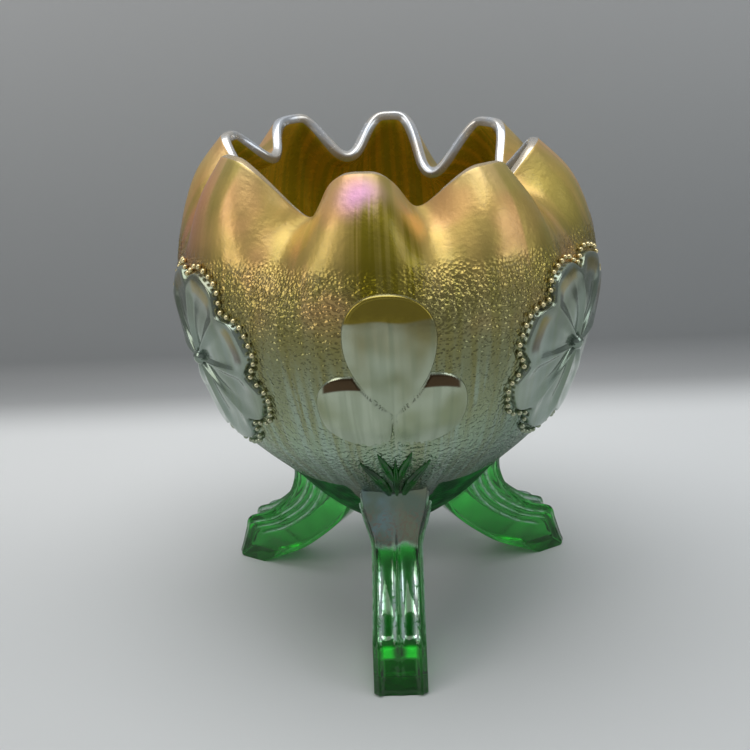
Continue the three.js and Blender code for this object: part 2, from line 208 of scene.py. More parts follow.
def climb_at_height(height):
    return np.interp(height, MERIDIAN_HEIGHT, MERIDIAN_CLIMB)


def drawn_on_wall(middle_turn, middle_length):
    """Puts a flat drawing on the wall: x runs round the bowl and y up it, along the glass."""

    def place(x, y, lift):
        length = np.clip(middle_length + y, 1, MERIDIAN_LENGTH - 1)
        climb = np.interp(length, MERIDIAN_ALONG, MERIDIAN_CLIMB)
        radius = np.interp(length, MERIDIAN_ALONG, MERIDIAN_RADIUS)
        return off_wall(middle_turn + np.degrees(x / radius), climb, lift)

    return place


def smoothstep(value, low, high):
    """0 at low and 1 at high, with a smooth change between them. Low may be above high."""
    t = np.clip((value - low) / (high - low), 0, 1)
    return t * t * (3 - 2 * t)


# ---- Making pieces ---------------------------------------


def grid_faces(rows, columns, closed_round=True):
    """Quads between the points of a grid that is listed row by row."""
    row, column = np.meshgrid(np.arange(rows - 1), np.arange(columns), indexing="ij")
    if not closed_round:
        row, column = row[:, :-1], column[:, :-1]
    row, column = row.ravel(), column.ravel()
    beside = (column + 1) % columns
    corners = [
        row * columns + column,
        row * columns + beside,
        (row + 1) * columns + beside,
        (row + 1) * columns + column,
    ]
    return np.column_stack(corners).tolist()


def closed_faces(rows, columns):
    """A grid that closes round, with a cap over its first row and one over its last."""
    last = (rows - 1) * columns
    caps = [list(range(columns))[::-1], list(range(last, last + columns))]
    return grid_faces(rows, columns) + caps


def flat_grid(rows, columns):
    """Each of the rows' values with every one of the columns', as two flat arrays."""
    return (grid.ravel() for grid in np.meshgrid(rows, columns, indexing="ij"))


def round_grid(rows, columns):
    """Each of the rows' values with every angle of a full turn."""
    return flat_grid(rows, np.linspace(0, 2 * np.pi, columns, endpoint=False))


def in_scene(name, data):
    made = bpy.data.objects.new(name, data)
    scene.collection.objects.link(made)
    return made


def smooth_object(name, points, faces, materials):
    """A smooth mesh from points in millimetres."""
    mesh = bpy.data.meshes.new(name)
    mesh.from_pydata((points * MM).tolist(), [], faces)
    mesh.validate()
    for material in materials:
        mesh.materials.append(material)
    mesh.polygons.foreach_set("use_smooth", [True] * len(mesh.polygons))
    return in_scene(name, mesh)


def add_piece(name, points, faces, slot_name, materials, node):
    """A piece that rides on the root in place of a CAD node."""
    piece = smooth_object(name, points, faces, materials)
    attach(piece, "root")
    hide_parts(node)
    return piece


def vertex_values(piece, name, values):
    """Stores a number for each vertex, and 0 for the ones after the last number."""
    padded = np.zeros(len(piece.data.vertices))
    padded[: len(values)] = values
    piece.data.attributes.new(name, "FLOAT", "POINT").data.foreach_set("value", padded)


PATCH_MIDDLE = 1e-3  # reach of a patch's innermost ring
UNDERSIDE_REACHES = [1.0, 0.66, 0.33, PATCH_MIDDLE]
UNDERSIDE_LIFT = -0.9


def patch_drawing(outline, reaches, columns):
    """The flat drawing of a patch, ring by ring. A reach of 1 lies on its outline."""
    reach, angle = round_grid(reaches, columns)
    away = reach * outline(angle)
    return away * np.cos(angle), away * np.sin(angle)


def relief_patch(name, node, place, outline, shape, rings, columns, look):
    """A raised patch on the wall, closed by an underside sunk into the glass.

    For each point of the drawing, shape gives the lift off the wall and how strongly it takes the
    painted brown reflection.
    """
    reaches = np.maximum(np.sin(np.linspace(0, 1, rings) * np.pi / 2) ** 0.85, PATCH_MIDDLE)
    x, y = patch_drawing(outline, reaches, columns)
    lift, shade = shape(x, y, np.hypot(x, y) / outline(np.arctan2(y, x)))
    under_x, under_y = patch_drawing(outline, UNDERSIDE_REACHES, columns)
    under = place(under_x, under_y, np.full(under_x.shape, UNDERSIDE_LIFT))
    points = np.vstack([place(x, y, lift), under])
    faces = closed_faces(rings + len(UNDERSIDE_REACHES), columns)
    piece = add_piece(name, points, faces, "silver_relief", [look], node)
    # Painted reflection: each vertex keeps how much of the brown reflection it gets.
    vertex_values(piece, "painted_reflection_edge", shade)


# ---- Materials -------------------------------------------


class Look:
    """One procedural material. Coordinates are millimetres in the bowl's own frame."""

    def __init__(self, name):
        self.material = bpy.data.materials.new(name)
        self.material.use_nodes = True
        self.tree = self.material.node_tree
        self.tree.nodes.clear()
        self.output = self.node("OutputMaterial")
        self.shader = self.node("BsdfPrincipled")
        self.tree.links.new(self.shader.outputs[0], self.output.inputs[0])
        coordinates = self.node("TexCoord")
        self.at = self.vector_math("SCALE", coordinates.outputs["Object"], scale=1 / MM)
        parts = self.node("SeparateXYZ")
        self.feed(parts.inputs[0], self.at)
        self.x, self.y, self.z = parts.outputs

    def node(self, kind):
        return self.tree.nodes.new("ShaderNode" + kind)

    def feed(self, socket, value):
        """Links the value to the socket if it is another socket, and sets it otherwise."""
        if isinstance(value, bpy.types.NodeSocket):
            self.tree.links.new(value, socket)
        elif isinstance(value, tuple) and len(value) == 3 and len(socket.default_value) == 4:
            socket.default_value = (*value, 1)
        else:
            socket.default_value = value

    def vector_math(self, operation, first, second=None, scale=None):
        node = self.node("VectorMath")
        node.operation = operation
        self.feed(node.inputs[0], first)
        if second is not None:
            self.feed(node.inputs[1], second)
        if scale is not None:
            node.inputs["Scale"].default_value = scale
        return node.outputs["Value"] if operation == "DISTANCE" else node.outputs[0]

    def math(self, operation, first, second=0.0):
        node = self.node("Math")
        node.operation = operation
        self.feed(node.inputs[0], first)
        self.feed(node.inputs[1], second)
        return node.outputs[0]

    def between(self, value, low, high, at_low=0.0, at_high=1.0):
        """A smooth change from at_low, where value is low, to at_high."""
        node = self.node("MapRange")
        node.interpolation_type = "SMOOTHSTEP"
        self.feed(node.inputs["Value"], value)
        self.feed(node.inputs["From Min"], low)
        self.feed(node.inputs["From Max"], high)
        self.feed(node.inputs["To Min"], at_low)
        self.feed(node.inputs["To Max"], at_high)
        return node.outputs[0]

    def times(self, first, *others):
        for other in others:
            first = self.math("MULTIPLY", first, other)
        return first

    def noise(self, scale, detail=3.0, vector=None):
        node = self.node("TexNoise")
        self.feed(node.inputs["Vector"], self.at if vector is None else vector)
        node.inputs["Scale"].default_value = scale
        node.inputs["Detail"].default_value = detail
        return node.outputs[0]

    def clouds(self, scale, detail, *limits):
        """Soft patches. The limits are those of between."""
        return self.between(self.noise(scale, detail), *limits)

    def rise(self, *limits):
        """A smooth change with height. The limits are those of between."""
        return self.between(self.z, *limits)

    def cells(self, scale):
        node = self.node("TexVoronoi")
        self.feed(node.inputs["Vector"], self.at)
        node.inputs["Scale"].default_value = scale
        return node.outputs["Distance"]

    def streaks(self, across, along, detail=2.0):
        """Noise drawn out up the wall: across and along are its scales round and up it."""
        flat = self.vector_math("MULTIPLY", self.at, (1.0, 1.0, 0.0))
        ring = self.vector_math("NORMALIZE", flat)
        ring = self.vector_math("SCALE", ring, scale=across)
        up = self.vector_math("MULTIPLY", self.at, (0.0, 0.0, along))
        return self.noise(1.0, detail, self.vector_math("ADD", ring, up))

    def by_height(self, stops, wander=0.0):
        """A colour for each height in millimetres, with a wandering edge."""
        low, high = stops[0][0], stops[-1][0]
        height = self.z
        if wander:
            drift = self.times(self.math("SUBTRACT", self.noise(0.05), 0.5), wander)
            height = self.math("ADD", self.z, drift)
        node = self.node("ValToRGB")
        share = self.math("DIVIDE", self.math("SUBTRACT", height, low), high - low)
        self.feed(node.inputs[0], share)
        elements = node.color_ramp.elements
        while len(elements) < len(stops):
            elements.new(0.5)
        for element, (z, colour) in zip(elements, stops):
            element.position = (z - low) / (high - low)
            element.color = (*colour, 1)
        return node.outputs[0]

    def mix(self, factor, first, second):
        """The first colour where factor is 0 and the second where it is 1."""
        node = self.node("Mix")
        node.data_type = "RGBA"
        self.feed(node.inputs["Factor"], factor)
        self.feed(node.inputs[6], first)
        self.feed(node.inputs[7], second)
        return node.outputs[2]

    def tint(self, ground, mask, strength, colour):
        """Lays a colour over the ground where the mask is 1, at the given strength."""
        return self.mix(self.times(mask, strength), ground, colour)

    def vertex_value(self, name):
        node = self.node("Attribute")
        node.attribute_name = name
        return node.outputs["Fac"]

    def near(self, point, inner, outer):
        """1 within inner of a point, falling to 0 at outer."""
        distance = self.vector_math("DISTANCE", self.at, point)
        return self.between(distance, inner, outer, 1.0, 0.0)

    def bump(self, height, distance, strength):
        """Small relief, with its height in millimetres."""
        node = self.node("Bump")
        node.inputs["Distance"].default_value = distance * MM
        node.inputs["Strength"].default_value = strength
        self.feed(node.inputs["Height"], height)
        self.feed(self.shader.inputs["Normal"], node.outputs[0])

    def surface(self, **values):
        """Feeds the shader's sockets, which are named with _ for a space."""
        for name, value in values.items():
            self.feed(self.shader.inputs[name.replace("_", " ")], value)
        return self.material


# The coating from the bare glass up to the rim: heights and colours.
COATING = [
    (44, (0.085, 0.145, 0.11)),
    (52, (0.16, 0.25, 0.18)),
    (62, (0.34, 0.46, 0.33)),
    (73, (0.31, 0.37, 0.22)),
    (88, (0.23, 0.25, 0.13)),
    (102, (0.28, 0.24, 0.085)),
    (112, (0.52, 0.38, 0.11)),
    (122, (0.66, 0.46, 0.14)),
    (134, (0.70, 0.52, 0.23)),
]
COATING_EDGE = (48.4, 49.2)  # the heights between which it starts
NECK_MIDDLE = (30, 39.0)  # of a foot: distance from the axis and height
THIN_MIDDLE = (51, 113.0)  # of the thin coating over a trefoil
THIN_TURN = 1  # against the foot below
THIN_SHAPE = (1.0, 1.0, 0.55)  # makes it taller than wide
ROSE_MIDDLE = (-48.0, -18.0, 118.0)
SLATE_MIDDLE = (36.0, -32.0, 60.0)
PAINTED_HIGHLIGHT_MIDDLE = (-4.0, -45.0, 126.0)
OLIVE = (0.22, 0.20, 0.05)
OLIVE_GOLD = (0.34, 0.30, 0.06)
PALE_SILVER = (0.38, 0.50, 0.42)
COPPER = (0.78, 0.42, 0.19)
ROSE = (0.56, 0.22, 0.17)
SLATE_GREEN = (0.13, 0.20, 0.15)
VIOLET_PAINTED_HIGHLIGHT = (0.50, 0.24, 0.46)
DARK_AMBER = (0.19, 0.155, 0.004)
BARE_GLASS = [(0.001, 0.05, 0.008), (0.005, 0.16, 0.02)]

LIP_PAINTED_HIGHLIGHT = [(0.62, 0.66, 0.71), (0.68, 0.64, 0.57)]
LIP_GOLD = [(0.58, 0.44, 0.22), (0.66, 0.52, 0.33)]
INSIDE_AMBER = [(30, (0.12, 0.14, 0.01)), (90, (0.80, 0.50, 0.012)), (132, (0.86, 0.58, 0.06))]
INSIDE_OLIVE = (0.40, 0.37, 0.01)

RELIEF_SILVER = (0.54, 0.62, 0.49)
RELIEF_PAINTED_SHADE_GREY = (0.19, 0.26, 0.25)
RELIEF_OLIVE = (0.20, 0.26, 0.16)
# Colours of the painted brown reflection on the relief's upper edges, gold higher up.
PAINTED_REFLECTION_UMBER = (0.065, 0.036, 0.010)
PAINTED_REFLECTION_GOLD = (0.27, 0.21, 0.02)
BEAD_GOLD = [(58, (0.30, 0.38, 0.28)), (80, (0.60, 0.58, 0.36)), (110, (0.80, 0.66, 0.34))]
BEAD_TARNISH = (0.40, 0.42, 0.28)

CLEAR_GREEN = [(0.04, 0.52, 0.06), (0.015, 0.32, 0.03)]
TOE_GREEN = (0.002, 0.42, 0.005)
# The painted glow in the toe's flutes: its colour and the light it emits.
SPOT_GREEN = (0.02, 1.0, 0.02)
SPOT_LIGHT = (0.0, 0.75, 0.02)
FLUTE_PAINTED_HIGHLIGHT = [(0.82, 0.95, 0.90), (0.80, 0.94, 1.0)]
NECK_BLUE = (0.15, 0.23, 0.24)
NECK_OLIVE = (0.17, 0.20, 0.14)
NECK_GREEN = (0.13, 0.18, 0.14)
NECK_ROSE = (0.20, 0.14, 0.11)
LEAF_GREEN = [(0.0005, 0.04, 0.003), (0.006, 0.11, 0.008)]

# Painted light and shade on the sweep: a floor brighter to the back, a darker backdrop.
FLOOR_PAINTED_LIGHT = [(0.62, 0.64, 0.645), (0.90, 0.92, 0.925)]
BACKDROP_PAINTED_SHADE = [(0.26, 0.27, 0.275), (0.46, 0.47, 0.475)]


def over_foot(turn, radius, height):
    """A point in a foot's middle plane, so many millimetres from the axis and up."""
    angle = math.radians(turn)
    return (radius * math.sin(angle), -radius * math.cos(angle), height)


def thin_coating(look):
    """1 in the tall patches above the trefoils, where the dark glass shows through."""
    patches = None
    for turn in FOOT_TURNS.values():
        offset = look.vector_math("SUBTRACT", look.at, over_foot(turn + THIN_TURN, *THIN_MIDDLE))
        offset = look.vector_math("MULTIPLY", offset, THIN_SHAPE)
        size = look.vector_math("DISTANCE", offset, (0.0, 0.0, 0.0))
        patch = look.between(size, 7.0, 11.5, 1.0, 0.0)
        patches = patch if patches is None else look.math("MAXIMUM", patches, patch)
    return patches


def coated_part(look):
    """1 where the coating lies and 0 on the bare bottom. The coating runs down the feet."""
    edge = look.z
    for turn in FOOT_TURNS.values():
        neck = look.near(over_foot(turn, *NECK_MIDDLE), 3.0, 16.0)
        edge = look.math("ADD", edge, look.times(neck, 16.0))
    return look.between(look.math("ADD", edge, look.times(look.noise(0.4), 1.5)), *COATING_EDGE)


def wall_colour(look):
    """The coating with its streaks and patches, each laid over the ones before it, and a painted
    violet highlight.
    """
    ground = look.by_height(COATING, 12.0)
    dull = look.between(look.streaks(20.0, 0.02), 0.42, 0.62)
    above_belly = look.rise(60.0, 100.0, 0.35, 0.6)
    below_rim = look.rise(116.0, 106.0, 0.3, 1.0)
    ground = look.tint(ground, dull, look.times(above_belly, below_rim), OLIVE)
    pale = look.between(look.streaks(26.0, 0.03), 0.46, 0.64)
    belly = look.times(look.rise(44.0, 52.0), look.rise(96.0, 72.0))
    ground = look.tint(ground, look.times(pale, belly), 0.6, PALE_SILVER)
    copper = look.times(look.clouds(0.045, 2.0, 0.46, 0.62), look.rise(92.0, 112.0))
    ground = look.tint(ground, copper, 0.6, COPPER)
    ground = look.tint(ground, look.near(ROSE_MIDDLE, 4.0, 24.0), 0.7, ROSE)
    ground = look.tint(ground, look.near(SLATE_MIDDLE, 6.0, 28.0), 0.6, SLATE_GREEN)
    olive = look.times(look.between(look.streaks(6.5, 0.01, 1.0), 0.50, 0.60), look.rise(98.0, 112.0))
    ground = look.tint(ground, olive, 0.6, OLIVE_GOLD)
    # Painted highlight: a small violet-pink spot on the front crest's top.
    ground = look.tint(ground, look.near(PAINTED_HIGHLIGHT_MIDDLE, 1.0, 8.0), 0.8, VIOLET_PAINTED_HIGHLIGHT)
    uneven = look.between(look.streaks(40.0, 0.015), 0.40, 0.60, 0.6, 1.0)
    return look.tint(ground, look.times(thin_coating(look), uneven), 0.92, DARK_AMBER)


def wall_outside():
    """Satin at the rim and glossy below, where the stipple has a finer grain of its own."""
    look = Look("coated_wall_outside")
    ground = wall_colour(look)
    coated = coated_part(look)
    satin = look.rise(104.0, 116.0, 0.22, 0.40)
    roughness = look.math("ADD", satin, look.clouds(0.25, 3.0, 0.3, 0.7, -0.04, 0.05))
    rough_glass = look.times(look.math("SUBTRACT", 1.0, coated), 0.25)
    stippled = look.rise(44.0, 62.0, 0.35, 1.0)
    stippled = look.times(stippled, look.rise(113.0, 109.0))
    satin_grain = look.times(look.noise(0.8, 4.0), look.rise(108.0, 114.0, 0.0, 0.35))
    grain = look.math("ADD", look.times(look.cells(1.15), stippled), satin_grain)
    look.bump(grain, 0.32, 0.9)
    bare = look.mix(look.clouds(0.15, 3.0, 0.4, 0.65), *BARE_GLASS)
    return look.surface(
        Base_Color=look.mix(coated, bare, ground),
        Metallic=look.times(coated, look.rise(108.0, 118.0, 0.85, 0.62)),
        Roughness=look.math("ADD", roughness, rough_glass),
        Coat_Weight=look.times(coated, 0.2),
        Coat_Roughness=0.12,
        Specular_IOR_Level=0.2,
        IOR=1.25,
    )


def wall_lip():
    """Gold in front and pale silver on the far side, which is a painted highlight along the lip."""
    look = Look("coated_lip")
    sheen = look.clouds(0.12, 3.0, 0.35, 0.65)
    # Painted highlight: the pale silver that the far side of the lip is given.
    painted_highlight_silver = look.mix(sheen, *LIP_PAINTED_HIGHLIGHT)
    gold = look.mix(sheen, *LIP_GOLD)
    colour = look.mix(look.between(look.y, -30.0, 5.0), gold, painted_highlight_silver)
    roughness = look.clouds(0.8, 3.0, 0.3, 0.7, 0.16, 0.28)
    return look.surface(Base_Color=colour, Metallic=0.6, Roughness=roughness, Coat_Weight=0.4)


def wall_inside():
    look = Look("glass_inside")
    streak = look.between(look.streaks(30.0, 0.012), 0.38, 0.62)
    colour = look.tint(look.by_height(INSIDE_AMBER), streak, 0.75, INSIDE_OLIVE)
    roughness = look.clouds(0.5, 3.0, 0.3, 0.7, 0.18, 0.32)
    return look.surface(Base_Color=colour, Metallic=0.25, Roughness=roughness, Coat_Weight=0.3)


def silver_relief():
    """Petals and lobes: silver in front and greyer to the sides as painted shade, and brown on their
    upper edges as a painted reflection.
    """
    look = Look("silver_relief")
    ground = look.by_height(COATING, 8.0)
    sheen = look.clouds(0.06, 2.0, 0.36, 0.60)
    ground = look.tint(ground, sheen, 0.7, RELIEF_SILVER)
    # Painted shade: the relief turns greyer away from the front of the bowl.
    level = look.vector_math("MULTIPLY", look.at, (1.0, 1.0, 0.0))
    from_front = look.vector_math("DISTANCE", level, (0.0, -BOWL_RADIUS, 0.0))
    ground = look.tint(ground, look.between(from_front, 24.0, 40.0), 0.65, RELIEF_PAINTED_SHADE_GREY)
    streak = look.between(look.streaks(24.0, 0.03), 0.45, 0.65)
    ground = look.tint(ground, streak, 0.35, RELIEF_OLIVE)
    # Painted reflection: umber, turning gold higher up, where the vertices carry it.
    painted_reflection_colour = look.mix(look.rise(88.0, 96.0), PAINTED_REFLECTION_UMBER, PAINTED_REFLECTION_GOLD)
    ground = look.mix(look.vertex_value("painted_reflection_edge"), ground, painted_reflection_colour)
    roughness = look.clouds(0.3, 3.0, 0.3, 0.7, 0.17, 0.26)
    look.bump(look.noise(0.3, 2.0), 0.15, 0.5)
    return look.surface(Base_Color=ground, Metallic=0.8, Roughness=roughness, Coat_Weight=0.3)


def gold_beads():
    look = Look("gold_beads")
    tarnish = look.clouds(0.4, 3.0, 0.45, 0.7)
    colour = look.tint(look.by_height(BEAD_GOLD), tarnish, 0.4, BEAD_TARNISH)
    roughness = look.clouds(1.5, 3.0, 0.3, 0.7, 0.10, 0.2)
    return look.surface(Base_Color=colour, Metallic=0.85, Roughness=roughness)


def neck_colour(look):
    """Bluish on one side of the neck and olive on the other, with rose specks low down."""
    cool = look.mix(look.between(look.x, -4.0, 3.0), NECK_BLUE, NECK_OLIVE)
    cool = look.mix(look.clouds(0.12, 2.0, 0.40, 0.60), cool, NECK_GREEN)
    specks = look.clouds(1.6, 3.0, 0.46, 0.62)
    specks = look.times(specks, look.rise(44.0, 38.0))
    return look.tint(cool, specks, 0.6, NECK_ROSE)


def green_glass():
    """Clear green glass with a coated neck, and silver painted highlights in the flutes of its outer
    face and on the ribs.

    The toe is a deeper green, with one bright spot in each flute where light gathers: a painted glow.
    """
    look = Look("green_glass")
    outer_face = look.vertex_value("outer_face")
    clear = look.mix(look.clouds(0.08, 2.0, 0.3, 0.7), *CLEAR_GREEN)
    clear = look.mix(look.times(outer_face, look.rise(13.5, 12.0)), clear, TOE_GREEN)
    # Painted glow: a bright green spot in each flute's hollow near the toe.
    spot = look.times(look.rise(8.6, 9.6), look.rise(12.6, 11.8))
    spot = look.times(spot, look.vertex_value("flute_hollow"))
    clear = look.mix(spot, clear, SPOT_GREEN)

    height = look.math("ADD", look.z, look.times(look.noise(0.3), 5.0))
    outer_or_top = look.math("MAXIMUM", outer_face, look.rise(40.0, 44.0))
    neck = look.times(look.between(height, 32.0, 34.5), outer_or_top)
    along = look.times(look.rise(13.2, 14.0), look.between(height, 30.0, 25.0))
    ragged = look.clouds(0.9, 3.0, 0.30, 0.50, 0.35, 1.0)
    # Painted highlight: silver down the sides of the flutes, with ragged edges.
    flutes = look.times(look.vertex_value("flute_painted_highlight"), along, ragged)
    # Painted highlight: silver along the ribs' crests, in patches.
    rib_highlight_patches = look.clouds(0.5, 2.0, 0.3, 0.6, 0.2, 0.6)
    ribs = look.times(look.vertex_value("rib_painted_highlight"), rib_highlight_patches)
    # The neck's mask is real coating; the flute and rib masks are painted highlights drawn as coat.
    coated = look.math("MAXIMUM", look.math("MAXIMUM", neck, flutes), ribs)
    painted_highlight_silver = look.mix(look.clouds(0.25, 2.0, 0.35, 0.65), *FLUTE_PAINTED_HIGHLIGHT)
    roughness = look.clouds(0.5, 3.0, 0.3, 0.75, 0.03, 0.10)
    look.bump(look.noise(0.25, 2.0), 0.25, 0.4)
    return look.surface(
        Base_Color=look.mix(coated, clear, look.mix(neck, painted_highlight_silver, neck_colour(look))),
        Metallic=look.times(coated, 0.8),
        Roughness=look.math("ADD", roughness, look.times(neck, 0.14)),
        Transmission_Weight=look.math("SUBTRACT", 1.0, coated),
        IOR=1.5,
        Coat_Weight=0.1,
        # Painted glow: the toe spots give off light of their own.
        Emission_Color=SPOT_LIGHT,
        Emission_Strength=look.times(spot, 0.4),
    )


def dark_leaf():
    look = Look("dark_leaf")
    colour = look.mix(look.clouds(0.25, 3.0, 0.35, 0.65), *LEAF_GREEN)
    roughness = look.clouds(0.9, 3.0, 0.3, 0.7, 0.06, 0.16)
    return look.surface(
        Base_Color=colour, Roughness=roughness, Coat_Weight=0.2, Specular_IOR_Level=0.3
    )


# ---- Bowl wall -------------------------------------------

WALL_COLUMNS = 1080
BARE_ROWS = 22
STIPPLED_ROWS = 236
RIM_ROWS = 36
LIP_ROWS = 9
INSIDE_ROWS = 64
LIP_RISE = 0.9 * WALL / 2
STIPPLED_FROM = 46  # height where the fine rows start
STIPPLE_FADE = (43, 56)  # heights between which the bumps grow
STIPPLE_TOP = 111
STIPPLE_SIZE = 1.15
STIPPLE_HEIGHT = 0.27
INNER_FLUTES = 26
INNER_FLUTE_DEPTH = 0.35


def stipple(turn, length):
    """Small rounded bumps of uneven size, packed without order over the wall."""
    per_turn = int(2 * np.pi * BOWL_RADIUS / STIPPLE_SIZE)
    u = (turn % 360) / 360 * per_turn
    v = length / STIPPLE_SIZE
    dice = np.random.default_rng(7)
    jitter = dice.random((per_turn, int(MERIDIAN_LENGTH / STIPPLE_SIZE) + 3, 3))
    cell_u, cell_v = np.floor(u).astype(int), np.floor(v).astype(int)
    total = np.zeros_like(u)
    for step_u in (-1, 0, 1):
        for step_v in (-1, 0, 1):
            at_u, at_v = cell_u + step_u, np.clip(cell_v + step_v, 0, jitter.shape[1] - 1)
            dot = jitter[at_u % per_turn, at_v]
            away = (at_u + dot[:, 0] - u) ** 2 + (at_v + dot[:, 1] - v) ** 2
            size = 0.10 + 0.14 * dot[:, 2]
            total = np.maximum(total, np.exp(-away / size))
    return total


def plain_ground(turn, length):
    """1 on the open ground and 0 under a flower and its beads."""
    ground = np.ones_like(turn)
    middle = length_at_height(SHOULDER_HEIGHT - FLOWER_DROP)
    radius = np.interp(length, MERIDIAN_ALONG, MERIDIAN_RADIUS)
    for flower_turn in FLOWER_TURNS.values():
        x = np.radians((turn - flower_turn + 180) % 360 - 180) * radius
        y = length - middle
        border = petal_outline(np.arctan2(y, x)) + 2 * BEAD_RADIUS + CLEARANCE
        ground *= smoothstep(np.hypot(x, y), border, border + 0.8)
    return ground


def stipple_lift(turn, climb):
    """How far the bumps stand off the wall. Their upper limit is a ragged line."""
    length = np.interp(climb, MERIDIAN_CLIMB, MERIDIAN_ALONG)
    height = np.interp(climb, MERIDIAN_CLIMB, MERIDIAN_HEIGHT)
    ragged = 1.2 * np.sin(np.radians(turn * 23)) + 0.8 * np.sin(np.radians(turn * 41))
    shown = smoothstep(height + ragged, STIPPLE_TOP + 1, STIPPLE_TOP - 3)
    shown = shown * smoothstep(height, *STIPPLE_FADE) * plain_ground(turn, length)
    return STIPPLE_HEIGHT * shown * stipple(turn, length)


def flute_lift(turn, climb):
    """Faint flutes down the wall's inside."""
    flutes = np.cos(np.radians(turn * INNER_FLUTES))
    fade = smoothstep(climb, 0.2, 0.45) * smoothstep(climb, 0.99, 0.85)
    return INNER_FLUTE_DEPTH * flutes * fade


def wall_thickness(climb):
    return BOTTOM_WALL + (WALL - BOTTOM_WALL) * smoothstep(climb, 0, 0.35)


def outside_climbs():
    """The rows of the wall's outside, close together where the bumps are."""
    smooth_from = STIPPLE_TOP + 2
    heights = np.concatenate(
        [
            np.linspace(BOWL_BOTTOM + 0.02, STIPPLED_FROM, BARE_ROWS, endpoint=False),
            np.linspace(STIPPLED_FROM, smooth_from, STIPPLED_ROWS, endpoint=False),
            np.linspace(smooth_from, SHOULDER_HEIGHT + CREST_RISE - 0.01, RIM_ROWS),
        ]
    )
    climbs = np.append(climb_at_height(heights[:-1]), 1)
    climbs[0] = SMALL_CLIMB
    return climbs


def bowl_wall():
    """Rows that run up the outside, over the lip and down the inside, with three looks."""
    outside = outside_climbs()
    lip_depths = np.linspace(0.06, 0.94, LIP_ROWS)
    lip = 1 + LIP_RISE * np.sin(lip_depths * np.pi) / MERIDIAN_LENGTH
    inside = np.linspace(1, SMALL_CLIMB, INSIDE_ROWS)
    climbs = np.concatenate([outside, lip, inside])
    depths = np.concatenate([np.zeros(len(outside)), lip_depths, np.ones(len(inside))])
    turns = np.linspace(0, 360, WALL_COLUMNS, endpoint=False)
    climb, turn = flat_grid(climbs, turns)
    depth = np.repeat(depths, WALL_COLUMNS)

    lift = -depth * wall_thickness(climb)
    outer, inner = depth == 0, depth == 1
    lift[outer] += stipple_lift(turn[outer], climb[outer])
    lift[inner] += flute_lift(turn[inner], climb[inner])

    row_of_face = np.repeat(np.arange(len(climbs) - 1), WALL_COLUMNS)
    first_lip, first_inside = len(outside) - 1, len(outside) + LIP_ROWS
    kind = np.where(row_of_face < first_lip, 0, np.where(row_of_face < first_inside, 1, 2))
    points, faces = off_wall(turn, climb, lift), closed_faces(len(climbs), WALL_COLUMNS)
    looks = [wall_outside(), wall_lip(), wall_inside()]
    wall = add_piece("bowl_wall_glass", points, faces, "coated_wall", looks, "bowl_wall")
    wall.data.polygons.foreach_set("material_index", np.append(kind, [0, 2]))


# ---- Flowers ---------------------------------------------

PETAL_FLOOR = 0.35
PETAL_RELIEF = 1.15
PETAL_RINGS = 46
PETAL_COLUMNS = 192
BUTTON_RADIUS = 2.1
BUTTON_RISE = 2.0
BUTTON_RINGS = 14
BUTTON_COLUMNS = 36
BEAD_RINGS = 9
BEAD_COLUMNS = 14


def between_petals(angle):
    """0 along a petal's middle, 1 between two petals."""
    return 0.5 + 0.5 * np.cos(PETALS * (angle - np.pi / 2))


def petal_outline(angle):
    return FLOWER_RADIUS - PETAL_NOTCH * between_petals(angle) ** 3 - 2 * BEAD_RADIUS


def petal_shape(x, y, reach):
    """Spoon-shaped petals: hollow, and rising to the ribs between them and to the outer end.

    Under the outer ends that face upwards they get a painted brown reflection.
    """
    angle = np.arctan2(y, x)
    parting = between_petals(angle)
    rib = parting**5 * smoothstep(reach, 1, 0.9)
    end = smoothstep(reach, 0.58, 0.93) ** 1.3
    bulge = 0.35 * smoothstep(reach, 0.1, 0.4) * (1 - parting) * smoothstep(reach, 0.75, 0.5)
    lift = PETAL_FLOOR + bulge + PETAL_RELIEF * np.maximum(rib, end)
    lift = lift * smoothstep(reach, 1.0, 0.955) - 0.5 * smoothstep(reach, 0.97, 1.0)
    # Painted reflection: a brown band near each outer end that faces upwards.
    band = smoothstep(reach, 0.74, 0.79) * smoothstep(reach, 0.93, 0.88)
    shade = 0.75 * band * smoothstep(np.sin(angle), -0.35, 0.1) * smoothstep(parting, 0.75, 0.4)
    return lift, shade


def flower_button(place):
    """A domed button with its underside sunk into the glass."""
    tilt, angle = round_grid(np.linspace(0.02, np.pi / 2, BUTTON_RINGS), BUTTON_COLUMNS)
    x = BUTTON_RADIUS * np.sin(tilt) * np.cos(angle)
    y = BUTTON_RADIUS * np.sin(tilt) * np.sin(angle)
    dome = place(x, y, 0.6 + BUTTON_RISE * np.cos(tilt))
    under = place(x[-BUTTON_COLUMNS:], y[-BUTTON_COLUMNS:], np.full(BUTTON_COLUMNS, -0.5))
    return np.vstack([dome, under]), closed_faces(BUTTON_RINGS + 1, BUTTON_COLUMNS)


